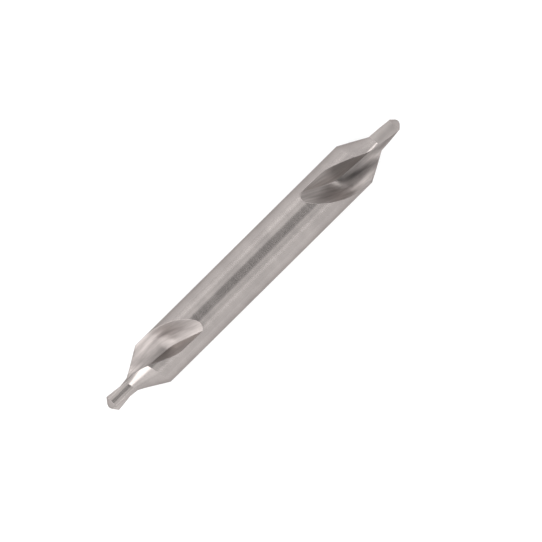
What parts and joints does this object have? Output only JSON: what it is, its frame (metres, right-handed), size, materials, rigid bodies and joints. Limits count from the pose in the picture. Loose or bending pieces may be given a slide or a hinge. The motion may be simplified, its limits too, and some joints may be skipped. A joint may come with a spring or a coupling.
{
  "type": "centre drill",
  "caption": "Double-ended centre drill: plain round shank, and at each end a relieved countersink and a short pilot drill with right-hand helical flutes.",
  "frame": {"origin": "middle of the drill, on its axis", "axes": "+X along the axis towards one point; +Z towards the side that is seen from above; +Y completes the frame"},
  "size_m": [0.04, 0.005, 0.005],
  "materials": {
    "tool_steel": "ground bright tool steel, fine grinding marks round the shank and along the flutes"
  },
  "bodies": {
    "root": {"centre_drill": "tool_steel"}
  },
  "joints": []
}
